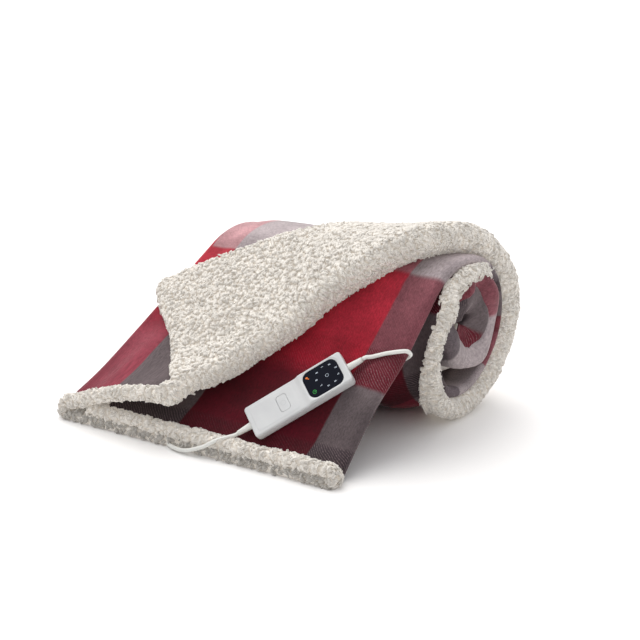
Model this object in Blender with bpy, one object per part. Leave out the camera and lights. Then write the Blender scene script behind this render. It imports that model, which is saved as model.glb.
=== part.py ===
# Electric heated blanket: a plaid flannel face sewn to a pile lining, folded in three along its
# length, rolled up from its far end, and draped forward from the top of the roll. A corner of the
# top layer is turned back. A handset lies on the drape, with a lead into the hem and a mains lead.
# Metres, +Z up, X along the roll, the front hem towards -Y.
import bpy
import bmesh
from collections import namedtuple
from math import asin, atan2, cos, hypot, pi, radians, sin
import numpy as np
from mathutils import Matrix, Vector

# ---- driving sizes of the cloth ----
STRIP = 0.405            # the folded strip, between the centres of its two side folds
FACE = 0.0015            # plaid flannel
LINING = 0.0058          # pile lining, lying pressed between layers
SEAM = 0.0003            # between the face and the lining
REST = 0.0005            # between two layers of the rolled strip
LOOSE = 0.0025           # more air under the top layer and the turned-back corner
HEM_PUFF = 0.0037        # the lining is this much thicker at the front hem
HEM_REACH = 0.045        # and thins to its pressed size over this length
OVERHANG = 0.005         # pile past the edge of the face
FOLD_PRESS = 0.72        # the lining's thickness inside a side fold, as a share
INNER_HEM = 0.013        # the middle layer's hem lies this far inside the left fold
FOOT = 0.010             # flat strip of the front hem on the surface
BEND = 0.022             # radius in which the drape leaves the surface
PITCH = 0.0265           # one turn of the roll
STEP = radians(20)       # between two stations of the roll
ROLL_STATIONS = 48       # 2.7 turns from the roll's top
MIDDLE = Vector((0.2006, 0.2514, 0.0))     # middle of the cloth's outline, the frame's origin

# Each end of the strip, left and right: where it lies along X, where its front hem starts, the
# roll's centre and the radius at the line where the strip leaves the roll.
End = namedtuple("End", "x front centre_y centre_z radius")
ENDS = (End(0.0, 0.0, 0.345, 0.0980, 0.0880), End(STRIP, 0.108, 0.365, 0.1400, 0.0835))

# The turned-back corner, by length along the strip from the front hem: how far right its fold
# lies, where its own edge lies, and how high it stands over the layer that it lies on.
Turn = namedtuple("Turn", "along fold edge rise")
TURNS = (
    Turn(0.043, 0.176, 0.146, 0.011), Turn(0.060, 0.186, 0.141, 0.013), Turn(0.095, 0.212, 0.118, 0.016),
    Turn(0.140, 0.236, 0.072, 0.019), Turn(0.190, 0.266, 0.006, 0.021), Turn(0.212, 0.274, -0.017, 0.021),
    Turn(0.240, 0.286, 0.003, 0.023), Turn(0.296, 0.324, 0.069, 0.028), Turn(0.340, 0.372, 0.136, 0.035),
    Turn(0.375, 0.404, 0.182, 0.036), Turn(0.450, 0.412, 0.252, 0.038), Turn(0.550, 0.412, 0.305, 0.039),
    Turn(0.700, 0.409, 0.345, 0.043),
)
FLAP_FIRST = 4           # the corner's first and last stations
FLAP_LAST = 29
TIP = 0.160              # the top layer's front hem ends here, at the turned corner's point
TIP_LIFT = 0.040         # and stands this much off the layer under it
TIP_REACH = 0.095        # over this length back from the hem
LEFT_PUFF = 0.014        # the left fold stands this much higher at the hem
LEFT_REACH = 0.035

# ---- driving sizes of the handset, along its own length, width and height ----
CASE = Vector((0.145, 0.047, 0.0155))
CASE_CORNER = 0.0042
CASE_PART = 0.0072       # height of the joint between its two shells
PAD = Vector((0.0575, 0.0465, 0.0020))     # raised pad that carries the display
PAD_AT = 0.0385          # its centre, from the middle of the case
DISPLAY = Vector((0.0500, 0.0400, 0.0016))
DISPLAY_CORNER = 0.0105
KEY = Vector((0.0145, 0.0240, 0.0022))
KEY_AT = -0.0215
KEY_CORNER = 0.0042
KEY_PROUD = 0.0004
POCKET = 0.0036          # the key's pocket, deep enough for its travel
GAP = 0.0003             # kept between pieces that touch
RELIEF = 0.020           # strain relief, tapered
RELIEF_WIDE = 0.0047     # its radius at the case and at the cord
RELIEF_THIN = 0.0033
RELIEF_HEIGHT = 0.0078   # of its centre line over the case's underside
CORD = 0.0054            # diameter of both leads
HANDSET_ALONG = 0.1000   # middle of the handset: along the strip and across it
HANDSET_ACROSS = 0.3120
HANDSET_DIR = Vector((0.551, 0.673, 0.498))
HANDSET_UP = Vector((0.145, -0.672, 0.726))

# ---- driving sizes of what lies stored under the drape ----
COIL_AT = Vector((0.222, 0.188))
COIL_MIDDLE = 0.031      # radius at the middle of the turns
COIL_SIDE = 0.0170       # side of the wound bundle's section
COIL_FLOOR = 0.0014
TIE = 0.0008
TIE_WIDE = 0.009
PLUG_AT = Vector((0.118, 0.150, 0.0))
PLUG = Vector((0.036, 0.026, 0.014))
PIN = Vector((0.019, 0.0020, 0.0095))      # length, radius, half of the distance apart

# ---- routes of the leads, each point on the centre line ----
# From the inner relief down to the front hem, along it to the surface, and round into its pile.
INNER_ROUTE = (
    (0.2480, 0.0670, 0.0266), (0.2385, 0.0578, 0.0254), (0.2263, 0.0515, 0.0200), (0.2140, 0.0470, 0.0125),
    (0.2033, 0.0420, 0.0065), (0.1944, 0.0366, 0.0036), (0.1859, 0.0322, 0.0030), (0.1775, 0.0312, 0.0031),
    (0.1719, 0.0341, 0.0037), (0.1705, 0.0386, 0.0042),
)
# From the mains relief over the right fold, back under the drape, and down to the coil.
MAINS_ROUTE = (
    (0.3805, 0.2243, 0.1402), (0.3905, 0.2292, 0.1443), (0.4020, 0.2321, 0.1470), (0.4135, 0.2361, 0.1468),
    (0.4182, 0.2437, 0.1420), (0.4143, 0.2510, 0.1348), (0.4050, 0.2519, 0.1296), (0.3955, 0.2488, 0.1236),
    (0.3860, 0.2440, 0.1156), (0.3780, 0.2400, 0.1030), (0.3705, 0.2365, 0.0870), (0.3640, 0.2335, 0.0670),
    (0.3580, 0.2310, 0.0460), (0.3510, 0.2290, 0.0270), (0.3405, 0.2260, 0.0120), (0.3250, 0.2215, 0.0045),
    (0.3050, 0.2150, 0.0030), (0.2860, 0.2080, 0.0045), (0.2715, 0.2030, 0.0083), (0.2602, 0.1996, 0.0085),
)
# From the plug to the coil's other side.
PLUG_ROUTE = (
    (0.1365, 0.1500, 0.0070), (0.1465, 0.1500, 0.0069), (0.1550, 0.1545, 0.0055), (0.1625, 0.1640, 0.0055),
    (0.1725, 0.1730, 0.0083), (0.1837, 0.1764, 0.0085),
)

Section = namedtuple("Section", "points press last")


def drape_angle(end):
    """Slope of the straight drape: tangent to the bend at the hem and to the roll."""
    dy, dz = end.centre_y - end.front - FOOT, end.centre_z - BEND
    return atan2(dz, dy) + asin((BEND + end.radius) / hypot(dy, dz))


def walk(end, leg, t):
    """Underside of the strip at one end: y, z and slope. Legs: foot, bend, drape, top, turns."""
    top = drape_angle(end)
    if leg == 0:
        return end.front + FOOT * t, 0.0, 0.0
    if leg == 1:
        slope = top * t
        return end.front + FOOT + BEND * sin(slope), BEND * (1 - cos(slope)), slope
    if leg == 2:
        y0, z0, _ = walk(end, 1, 1)
        y1, z1, _ = walk(end, 3, 0)
        return y0 + (y1 - y0) * t, z0 + (z1 - z0) * t, top
    slope = top * (1 - t) if leg == 3 else -STEP * t
    radius = end.radius - PITCH * (top - slope) / (2 * pi)
    return end.centre_y - radius * sin(slope), end.centre_z + radius * cos(slope), slope


def strip_point(station, across, height, forward=0.0):
    """Point of the strip: across its width and at a height over its underside."""
    share = across / STRIP
    ends = []
    for end in ENDS:
        y, z, slope = walk(end, *station)
        ends.append((y - height * sin(slope) - forward * cos(slope), z + height * cos(slope)
                     - forward * sin(slope)))
    (y0, z0), (y1, z1) = ends
    x = ENDS[0].x + (ENDS[1].x - ENDS[0].x) * share
    return Vector((x, y0 + (y1 - y0) * share, z0 + (z1 - z0) * share))


def stations():
    """Stations along the strip and the length from the hem to each, at mid-width."""
    places = [(0, 0.0), (0, 1.0), (1, 0.5), (1, 1.0)]
    places += [(2, k / 11) for k in range(1, 11)]
    places += [(3, k / 3) for k in range(3)]
    places += [(4, k) for k in range(ROLL_STATIONS + 1)]
    middle = [strip_point(place, STRIP / 2, 0.012) for place in places]
    lengths = [0.0]
    for a, b in zip(middle, middle[1:]):
        lengths.append(lengths[-1] + (b - a).length)
    return places, lengths


def fade(along, reach):
    return float(np.exp(-((along / reach) ** 2)))


def lining_thickness(along):
    return LINING + HEM_PUFF * fade(along, HEM_REACH)


def arc(centre_u, centre_h, radius_u, radius_h, start, stop, count):
    """Points inside a fold's arc, without its two ends."""
    points = []
    for k in range(1, count + 1):
        angle = start + (stop - start) * k / (count + 1)
        points.append((centre_u + radius_u * cos(angle), centre_h + radius_h * sin(angle)))
    return points


def section(along, flap):
    """The seam line between face and lining across the strip, from the middle layer's hem."""
    pile = lining_thickness(along)
    settle = max(0.0, min(1.0, (0.80 - along) / 0.15))
    low = FACE + SEAM / 2
    middle = low + SEAM + 2 * pile + REST
    above_middle = FACE + SEAM + REST + pile + LOOSE * settle
    row = np.array([[t.along, t.fold, t.edge, t.rise] for t in TURNS])
    fold, edge, rise = (float(np.interp(along, row[:, 0], row[:, k])) for k in (1, 2, 3))
    end = fold if flap else (TIP if along < TURNS[0].along else STRIP - 0.004)

    def upper(u):
        tip = TIP_LIFT * fade(along, TIP_REACH) * max(0.0, min(1.0, u / TIP)) ** 1.3
        beyond = max(0.0, u - TIP)
        return middle + above_middle + tip / (1 + 14 * beyond) + LEFT_PUFF * fade(along, LEFT_REACH)

    thirds = (STRIP * 0.35, STRIP * 0.68)
    points = [(INNER_HEM, middle), (thirds[0], middle), (thirds[1], middle), (STRIP, middle)]
    press = [1.0, 1.0, 1.0, FOLD_PRESS]
    round_right = (middle - low) / 2
    points += arc(STRIP, low + round_right, round_right, round_right, pi / 2, -pi / 2, 3)
    points += [(STRIP, low), (thirds[1], low), (thirds[0], low), (0.0, low)]
    press += [FOLD_PRESS] * 4 + [1.0, 1.0, FOLD_PRESS]
    round_left = (upper(0.0) - low) / 2
    points += arc(0.0, low + round_left, min(round_left, 0.014), round_left, -pi / 2, -3 * pi / 2, 3)
    press += [FOLD_PRESS] * 3
    lap = FACE * 2 + SEAM + LOOSE
    loop = (lap + rise) / 2
    reach = end - loop if flap else end
    points += [(u, upper(u)) for u in (0.0, reach * 0.34, reach * 0.70, reach)]
    press += [FOLD_PRESS, 1.0, 1.0, 1.0]
    last = len(points) - 1
    if flap:
        points += arc(reach, upper(reach) + loop, loop, loop, -pi / 2, pi / 2, 4)
        for share in (0.0, 0.3, 0.65, 1.0):
            u = reach + (edge - reach) * share
            points.append((u, upper(max(u, 0.0)) + lap + rise * (1 - share) ** 1.5))
        press += [1.0] * 8
    return Section(points, press, last)


def offset(line, distances):
    """Line moved to its left by a distance for each point."""
    moved = []
    for k, point in enumerate(line):
        before = Vector(point) - Vector(line[max(k - 1, 0)])
        after = Vector(line[min(k + 1, len(line) - 1)]) - Vector(point)
        if before.length > 0:
            before.normalize()
        if after.length > 0:
            after.normalize()
        along = (before + after).normalized()
        bend = max(0.6, along.dot(after if after.length > 0 else before))
        moved.append(Vector(point) + Vector((-along.y, along.x)) * distances[k] / bend)
    return moved


def lengthened(line, extra):
    """Line with its last and first points moved outwards."""
    first = Vector(line[0]) + (Vector(line[0]) - Vector(line[1])).normalized() * extra
    last = Vector(line[-1]) + (Vector(line[-1]) - Vector(line[-2])).normalized() * extra
    return [first] + [Vector(p) for p in line[1:-1]] + [last]


def sheet_rows(lining):
    """Inner and outer rows of points of one sheet, a pair for each station."""
    places, lengths = stations()
    rows = []
    for k, (place, along) in enumerate(zip(places, lengths)):
        cut = section(along, FLAP_FIRST <= k <= FLAP_LAST)
        line = lengthened(cut.points, OVERHANG if lining else 0.0)
        pile = lining_thickness(along)
        ends = (0, len(line) - 1)
        thin = k in (0, len(places) - 1)
        near, far = [], []
        for n in range(len(line)):
            thick = FACE
            if lining:
                thick = pile * cut.press[n] * (0.62 if thin or n in ends else 1.0)
            side = -1.0 if lining else 1.0
            near.append(side * SEAM / 2)
            far.append(side * (SEAM / 2 + thick))
        forward = 0.0
        if lining and thin:
            forward = OVERHANG if k == 0 else -OVERHANG
        pair = []
        for shift in (near, far):
            spots = [strip_point(place, p.x, p.y, forward) for p in offset(line, shift)]
            for spot in spots:
                spot.z = max(spot.z, 0.0)
            pair.append(spots)
        rows.append((pair[0], pair[1], cut.last))
    return rows


def sheet(name, lining, material):
    """One sheet as a closed solid, every cell split along the same diagonal."""
    rows = sheet_rows(lining)
    mesh = bmesh.new()
    grid = [[[mesh.verts.new(p) for p in side] for side in row[:2]] for row in rows]

    def cell(a, b, c, d):
        mesh.faces.new((a, b, c))
        mesh.faces.new((a, c, d))

    for k in range(len(rows) - 1):
        (near, far), (near_next, far_next) = grid[k], grid[k + 1]
        last = min(len(near), len(near_next)) - 1
        for n in range(last):
            cell(near[n], near_next[n], near_next[n + 1], near[n + 1])
            cell(far[n + 1], far_next[n + 1], far_next[n], far[n])
        cell(far[0], far_next[0], near_next[0], near[0])
        cell(near[last], near_next[last], far_next[last], far[last])

    def cap(k, first, turn):
        near, far = grid[k]
        for n in range(first, len(near) - 1):
            corners = (near[n], near[n + 1], far[n + 1], far[n])
            cell(*(corners if turn else corners[::-1]))

    cap(0, 0, True)
    cap(FLAP_FIRST, rows[FLAP_FIRST][2], True)
    cap(FLAP_LAST, rows[FLAP_LAST][2], False)
    cap(len(rows) - 1, 0, False)
    bmesh.ops.recalc_face_normals(mesh, faces=mesh.faces)
    return finish(name, mesh, material, smooth=False)


def finish(name, mesh, material, smooth=True, place=None):
    """Object from a bmesh, with its material, placed in the model's frame."""
    data = bpy.data.meshes.new(name)
    mesh.to_mesh(data)
    mesh.free()
    if smooth:
        data.shade_smooth()
        data.set_sharp_from_angle(angle=radians(35))
    data.materials.append(material)
    item = bpy.data.objects.new(name, data)
    item.matrix_world = Matrix.Translation(-MIDDLE) @ (place or Matrix())
    bpy.context.scene.collection.objects.link(item)
    return item


def paint(name, colour, roughness):
    material = bpy.data.materials.new(name)
    material.use_nodes = True
    shader = material.node_tree.nodes["Principled BSDF"]
    shader.inputs["Base Color"].default_value = (*colour, 1.0)
    shader.inputs["Roughness"].default_value = roughness
    return material


def rounded_outline(size_x, size_y, corner, steps=4):
    points = []
    for quarter in range(4):
        cx = (size_x / 2 - corner) * (1 if quarter in (0, 3) else -1)
        cy = (size_y / 2 - corner) * (1 if quarter in (0, 1) else -1)
        for k in range(steps + 1):
            angle = (quarter + k / steps) * pi / 2
            points.append((cx + corner * cos(angle), cy + corner * sin(angle)))
    return points


def rounded_block(layers):
    """Closed block lofted through rounded outlines: middle x, size x, size y, corner, height."""
    mesh = bmesh.new()
    loops = []
    for middle, size_x, size_y, corner, height in layers:
        outline = rounded_outline(size_x, size_y, corner)
        loops.append([mesh.verts.new((x + middle, y, height)) for x, y in outline])
    for low, high in zip(loops, loops[1:]):
        for k in range(len(low)):
            n = (k + 1) % len(low)
            mesh.faces.new((low[k], low[n], high[n], high[k]))
    mesh.faces.new(loops[0][::-1])
    mesh.faces.new(loops[-1])
    return mesh


def cutter(name, mesh, target, place):
    """Takes a block's shape out of a target with an exact Boolean."""
    tool = finish(name, mesh, target.data.materials[0], smooth=False, place=place)
    tool.hide_render = True
    tool.display_type = "WIRE"
    cut = target.modifiers.new(name, "BOOLEAN")
    cut.operation = "DIFFERENCE"
    cut.solver = "EXACT"
    cut.object = tool


def handset_place():
    """Frame of the handset: lying on the slope, just clear of the face under it."""
    places, lengths = stations()
    k = int(np.searchsorted(lengths, HANDSET_ALONG))
    share = (HANDSET_ALONG - lengths[k - 1]) / (lengths[k] - lengths[k - 1])
    top = 2 * FACE + 2 * SEAM + 2 * LINING + REST

    def spot(across, step):
        return strip_point(places[k - 1], across, top).lerp(strip_point(places[k], across, top), step)

    centre = spot(HANDSET_ACROSS, share)
    up = HANDSET_UP.normalized()
    long_side = (HANDSET_DIR - up * HANDSET_DIR.dot(up)).normalized()
    short_side = up.cross(long_side)
    lift = 0.0
    for station, along in zip(places, lengths):
        height = top + 2 * HEM_PUFF * fade(along, HEM_REACH)
        for n in range(21):
            away = strip_point(station, STRIP * n / 20, height) - centre
            inside = abs(away.dot(long_side)) < CASE.x * 0.56 and abs(away.dot(short_side)) < CASE.y * 0.62
            if inside and along < 0.3:
                lift = max(lift, away.dot(up))
    centre = centre + up * (lift + GAP)
    frame = Matrix((long_side, short_side, up)).transposed().to_4x4()
    return Matrix.Translation(centre) @ frame


def handset(place, shell, dark, grey):
    """Two shells, the display in its raised pad, the key in its pocket and a relief at each end."""
    size = (CASE.x, CASE.y)
    soft = CASE_CORNER
    finish("handset_base", rounded_block([
        (0, size[0] - 0.006, size[1] - 0.006, soft * 0.6, 0.0),
        (0, size[0] - 0.0015, size[1] - 0.0015, soft * 0.9, 0.0022),
        (0, size[0], size[1], soft, 0.0050),
        (0, size[0], size[1], soft, CASE_PART)]), shell, place=place)
    top, pad_top = CASE.z, CASE.z + PAD.z
    cover = finish("handset_cover", rounded_block([
        (0, size[0], size[1], soft, CASE_PART + GAP),
        (0, size[0], size[1], soft, top - 0.0030),
        (0, size[0] - 0.0014, size[1] - 0.0014, soft * 0.9, top - 0.0010),
        (0, size[0] - 0.0050, size[1] - 0.0050, soft * 0.6, top)]), shell, place=place)
    pad = finish("pad_form", rounded_block([
        (PAD_AT, PAD.x + 0.004, PAD.y, 0.012, top - 0.0020),
        (PAD_AT, PAD.x + 0.002, PAD.y - 0.0006, 0.012, top + PAD.z * 0.5),
        (PAD_AT, PAD.x - 0.001, PAD.y - 0.0026, 0.012, pad_top)]), shell, smooth=False, place=place)
    pad.hide_render = True
    pad.display_type = "WIRE"
    join = cover.modifiers.new("pad", "BOOLEAN")
    join.operation = "UNION"
    join.solver = "EXACT"
    join.object = pad
    window = (DISPLAY.x + 2 * GAP, DISPLAY.y + 2 * GAP, DISPLAY_CORNER)
    seat = pad_top - DISPLAY.z - GAP
    cutter("window_cutter", rounded_block([(PAD_AT, *window, seat), (PAD_AT, *window, pad_top + 0.004)]),
           cover, place)
    pocket = (KEY.x + 2 * GAP, KEY.y + 2 * GAP, KEY_CORNER)
    key_place = place @ Matrix.Translation((KEY_AT, 0, top))
    cutter("pocket_cutter", rounded_block([(0, *pocket, -POCKET), (0, *pocket, 0.004)]), cover, key_place)
    finish("display_window", rounded_block([
        (PAD_AT, DISPLAY.x, DISPLAY.y, DISPLAY_CORNER, seat + GAP),
        (PAD_AT, DISPLAY.x, DISPLAY.y, DISPLAY_CORNER, pad_top - 0.0003),
        (PAD_AT, DISPLAY.x - 0.0010, DISPLAY.y - 0.0010, DISPLAY_CORNER, pad_top)]), dark, place=place)
    finish("power_key", rounded_block([
        (0, KEY.x, KEY.y, KEY_CORNER, KEY_PROUD - KEY.z),
        (0, KEY.x, KEY.y, KEY_CORNER, KEY_PROUD - 0.0005),
        (0, KEY.x - 0.0010, KEY.y - 0.0010, KEY_CORNER, KEY_PROUD)]), grey, place=key_place)
    for name, side in (("inner_lead_relief", -1), ("mains_lead_relief", 1)):
        mesh = bmesh.new()
        bmesh.ops.create_cone(mesh, cap_ends=True, segments=12, radius1=RELIEF_WIDE, radius2=RELIEF_THIN,
                              depth=RELIEF)
        turn = Matrix.Rotation(side * pi / 2, 4, "Y")
        at = Matrix.Translation((side * (CASE.x / 2 + GAP + RELIEF / 2), 0, RELIEF_HEIGHT))
        finish(name, mesh, shell, place=place @ at @ turn)


def smooth_route(route, spacing):
    """Points at an even spacing on a smooth curve through the route's own points."""
    line = [Vector(p) for p in route]
    line = [line[0] * 2 - line[1]] + line + [line[-1] * 2 - line[-2]]
    dense = []
    for a, b, c, d in zip(line, line[1:], line[2:], line[3:]):
        for k in range(24):
            t = k / 24
            dense.append(0.5 * (2 * b + (c - a) * t + (2 * a - 5 * b + 4 * c - d) * t * t
                                + (3 * b - a - 3 * c + d) * t ** 3))
    dense.append(line[-2])
    run = [0.0]
    for a, b in zip(dense, dense[1:]):
        run.append(run[-1] + (b - a).length)
    count = max(2, round(run[-1] / spacing))
    points = []
    for k in range(count + 1):
        want = run[-1] * k / count
        n = min(int(np.searchsorted(run, want)), len(run) - 1)
        low = max(n - 1, 0)
        share = (want - run[low]) / max(run[n] - run[low], 1e-9)
        points.append(dense[low].lerp(dense[n], share))
    return points


def lead(name, route, material):
    """A lead as a round tube with closed ends."""
    curve = bpy.data.curves.new(name, "CURVE")
    curve.dimensions = "3D"
    curve.bevel_depth = CORD / 2
    curve.bevel_resolution = 2
    curve.use_fill_caps = True
    points = smooth_route(route, CORD * 2)
    line = curve.splines.new("POLY")
    line.points.add(len(points) - 1)
    for spot, point in zip(line.points, points):
        spot.co = (*point, 1.0)
    curve.materials.append(material)
    item = bpy.data.objects.new(name, curve)
    item.location = -MIDDLE
    bpy.context.scene.collection.objects.link(item)


def relief_end(place, side):
    """Two points on a relief's centre line: at the lead's end and a little further out."""
    reach = CASE.x / 2 + RELIEF + 2 * GAP
    return [place @ Vector((side * (reach + more), 0, RELIEF_HEIGHT)) for more in (0.0, 2 * CORD)]


def turned_ring(name, middle, half, low, high, at, material, segments=32):
    """A ring of rectangular section with broken corners, turned about the vertical."""
    soft = half * 0.42
    profile = [(-half, low + soft), (-half + soft, low), (half - soft, low), (half, low + soft),
               (half, high - soft), (half - soft, high), (-half + soft, high), (-half, high - soft)]
    mesh = bmesh.new()
    rings = []
    for k in range(segments):
        angle = 2 * pi * k / segments
        rings.append([mesh.verts.new((at.x + (middle + r) * cos(angle), at.y + (middle + r) * sin(angle), z))
                      for r, z in profile])
    for k in range(segments):
        here, there = rings[k], rings[(k + 1) % segments]
        for n in range(len(profile)):
            m = (n + 1) % len(profile)
            mesh.faces.new((here[n], there[n], there[m], here[m]))
    bmesh.ops.recalc_face_normals(mesh, faces=mesh.faces)
    finish(name, mesh, material)


def coil_and_tie(cord, strap):
    """The stored length of the mains lead as the outer shape of its turns, with a strap round it."""
    low, high = COIL_FLOOR, COIL_FLOOR + COIL_SIDE
    half = COIL_SIDE / 2
    turned_ring("mains_lead_coil", COIL_MIDDLE, half, low, high, COIL_AT, cord)
    inner = half + GAP * 2
    loops = []
    mesh = bmesh.new()
    for y in (-TIE_WIDE / 2, TIE_WIDE / 2):
        for grow in (0.0, TIE):
            x, bottom, top = inner + grow, low - GAP - grow, high + GAP + grow
            loops.append([mesh.verts.new((COIL_AT.x - COIL_MIDDLE + sx, COIL_AT.y + y, z))
                          for sx, z in ((-x, bottom), (x, bottom), (x, top), (-x, top))])
    inside0, outside0, inside1, outside1 = loops
    for k in range(4):
        n = (k + 1) % 4
        mesh.faces.new((inside0[k], inside1[k], inside1[n], inside0[n]))
        mesh.faces.new((outside0[n], outside1[n], outside1[k], outside0[k]))
        mesh.faces.new((inside0[n], outside0[n], outside0[k], inside0[k]))
        mesh.faces.new((inside1[k], outside1[k], outside1[n], inside1[n]))
    bmesh.ops.recalc_face_normals(mesh, faces=mesh.faces)
    finish("coil_tie", mesh, strap, smooth=False)


def plug(shell, metal):
    """Flat two-pin plug lying on the surface beside the coil, its pins towards -X."""
    place = Matrix.Translation(PLUG_AT)
    body = rounded_block([
        (0, PLUG.x - 0.004, PLUG.y - 0.004, 0.006, 0.0), (0, PLUG.x, PLUG.y, 0.008, 0.0030),
        (0, PLUG.x, PLUG.y, 0.008, PLUG.z - 0.0030), (0, PLUG.x - 0.004, PLUG.y - 0.004, 0.006, PLUG.z)])
    finish("plug_body", body, shell, place=place)
    for name, side in (("plug_pin_1", -1), ("plug_pin_2", 1)):
        mesh = bmesh.new()
        bmesh.ops.create_cone(mesh, cap_ends=True, segments=12, radius1=PIN.y, radius2=PIN.y, depth=PIN.x)
        at = Matrix.Translation((-PLUG.x / 2 - GAP - PIN.x / 2, side * PIN.z, PLUG.z / 2))
        finish(name, mesh, metal, place=place @ at @ Matrix.Rotation(pi / 2, 4, "Y"))


def build():
    for item in list(bpy.data.objects):
        bpy.data.objects.remove(item, do_unlink=True)
    flannel = paint("plaid_flannel", (0.30, 0.03, 0.045), 0.9)
    pile = paint("pile_lining", (0.80, 0.76, 0.70), 1.0)
    shell = paint("white_abs", (0.85, 0.86, 0.86), 0.35)
    key_grey = paint("key_abs", (0.80, 0.81, 0.82), 0.4)
    dark = paint("display_acrylic", (0.01, 0.012, 0.02), 0.1)
    cord = paint("white_pvc", (0.82, 0.82, 0.80), 0.5)
    strap = paint("black_strap", (0.05, 0.05, 0.05), 0.7)
    metal = paint("nickel_pins", (0.70, 0.69, 0.66), 0.3)
    metal.node_tree.nodes["Principled BSDF"].inputs["Metallic"].default_value = 1.0
    sheet("flannel_face", False, flannel)
    sheet("pile_lining", True, pile)
    place = handset_place()
    handset(place, shell, dark, key_grey)
    lead("inner_lead", relief_end(place, -1) + list(INNER_ROUTE), cord)
    lead("mains_lead", relief_end(place, 1) + list(MAINS_ROUTE), cord)
    lead("plug_lead", PLUG_ROUTE, cord)
    coil_and_tie(cord, strap)
    plug(shell, metal)


build()
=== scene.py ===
from collections import namedtuple
from functools import partial
from math import asin, atan2, cos, hypot, pi, radians, sin
import bpy
import numpy as np
from mathutils import Matrix, Vector, noise


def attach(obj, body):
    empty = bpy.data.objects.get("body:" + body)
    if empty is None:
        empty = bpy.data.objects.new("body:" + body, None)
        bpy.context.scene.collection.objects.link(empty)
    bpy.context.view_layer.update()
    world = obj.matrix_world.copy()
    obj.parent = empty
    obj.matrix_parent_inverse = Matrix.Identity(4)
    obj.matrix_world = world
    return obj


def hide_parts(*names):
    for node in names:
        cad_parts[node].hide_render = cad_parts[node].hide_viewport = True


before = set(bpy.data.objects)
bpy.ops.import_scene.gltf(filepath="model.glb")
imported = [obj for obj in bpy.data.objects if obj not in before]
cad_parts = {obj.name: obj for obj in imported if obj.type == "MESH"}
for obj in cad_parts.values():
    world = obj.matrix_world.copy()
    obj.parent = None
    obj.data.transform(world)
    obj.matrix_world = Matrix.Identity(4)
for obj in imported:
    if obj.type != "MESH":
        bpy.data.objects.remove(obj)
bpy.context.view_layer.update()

# ------------------------------------------------------------------ the room
# A plain pale floor in soft daylight. The photograph looks down at the throw's right front
# corner through a lens of about 62 mm.
MIDDLE = Vector((0.2006, 0.2514, 0.0))  # middle of the throw's outline, from its left front corner
CAMERA_AT = Vector((1.188, -0.777, 0.699)) - MIDDLE
CAMERA_DOWN, CAMERA_TURN = 22, 42.29  # degrees below level, and degrees round to the left
LENS, SENSOR = 61.9, 36.0  # in millimetres
FLOOR_REACH = 14.0
SKY_SIDE, SUN_SIDE = (-0.45, 0.40, 0.80), (-0.42, 0.22, 0.88)
SKY_SHARES = -0.6, 0.9, 0.04, 1.22  # from and to how far it faces that side, and how bright it is there
SUN_SPREAD, SUN_STRENGTH = 58, 1.75


def linked(name, data):
    """A new object in the scene."""
    made = bpy.data.objects.new(name, data)
    bpy.context.scene.collection.objects.link(made)
    return made


camera_data = bpy.data.cameras.new("camera")
camera_data.lens, camera_data.sensor_width, camera_data.clip_start = LENS, SENSOR, 0.05
camera = linked("camera", camera_data)
camera.location = CAMERA_AT
camera.rotation_euler = (radians(90 - CAMERA_DOWN), 0.0, radians(CAMERA_TURN))
bpy.context.scene.camera = camera


def linear(code):
    """An sRGB hex colour as linear red, green, blue and alpha."""
    parts = [int(code[k:k + 2], 16) / 255 for k in (1, 3, 5)]
    return (*[c / 12.92 if c <= 0.04045 else ((c + 0.055) / 1.055) ** 2.4 for c in parts], 1.0)


def node(tree, kind, *values, out=None, stops=(), **named):
    """Adds a node, or takes one that is there, and gives one of its outputs. A kind in capitals is the
    operation of a Math node, or after VECTOR of a Vector Math node, and a short kind lacks its ShaderNode.
    The values go to the inputs in turn, and names with a capital to the input of that name. The other
    names are settings, and stops are a colour ramp's."""
    if not isinstance(kind, bpy.types.Node):
        if kind.isupper():
            *vector, named["operation"] = kind.split()
            kind = "VectorMath" if vector else "Math"
        kind = tree.nodes.new(kind if "Node" in kind else "ShaderNode" + kind)
    for name in [name for name in named if name[0].islower()]:
        setattr(kind, name, named.pop(name))
    given = list(zip((socket for socket in kind.inputs if socket.enabled), values))
    given += [(kind.inputs[name.replace("_", " ")], value) for name, value in named.items()]
    for socket, value in given:
        if isinstance(value, bpy.types.NodeSocket):
            tree.links.new(value, socket)
        else:
            socket.default_value = value
    stops = list(stops)
    for _ in stops[2:]:
        kind.color_ramp.elements.new(0.5)
    for n, (position, code) in enumerate(stops):
        kind.color_ramp.elements[n].position = position
        kind.color_ramp.elements[n].color = linear(code)
    return kind.outputs[out] if out else next((socket for socket in kind.outputs if socket.enabled), None)


def material(name, **sockets):
    """A material, the function that adds nodes to it, and its one shader, which has these plain values."""
    made = bpy.data.materials.new(name)
    made.use_nodes = True
    shader = made.node_tree.nodes["Principled BSDF"]
    node(made.node_tree, shader, **sockets)
    return made, partial(node, made.node_tree), shader


def mesh_of(name, points, faces):
    """A mesh from its points and faces."""
    mesh = bpy.data.meshes.new(name)
    mesh.from_pydata([tuple(p) for p in points], [], [tuple(f) for f in faces])
    return mesh


def solid(name, points, faces, made_of, body="blanket"):
    """A finished piece from its points and faces, riding on a body."""
    mesh = mesh_of(name, points, faces)
    mesh.materials.append(made_of)
    mesh.shade_smooth()
    piece = linked(name, mesh)
    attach(piece, body)
    return piece


corners = [(x * FLOOR_REACH, y * FLOOR_REACH, 0) for x, y in ((-1, -1), (1, -1), (1, 1), (-1, 1))]
floor_mesh = mesh_of("floor", corners, [(0, 1, 2, 3)])
floor_mesh.materials.append(material("white_floor_paint", Roughness=0.75, Base_Color=linear("#FBFAF9"))[0])
linked("floor", floor_mesh)

world = bpy.data.worlds.new("daylight")
bpy.context.scene.world = world
world.use_nodes = True
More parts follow.
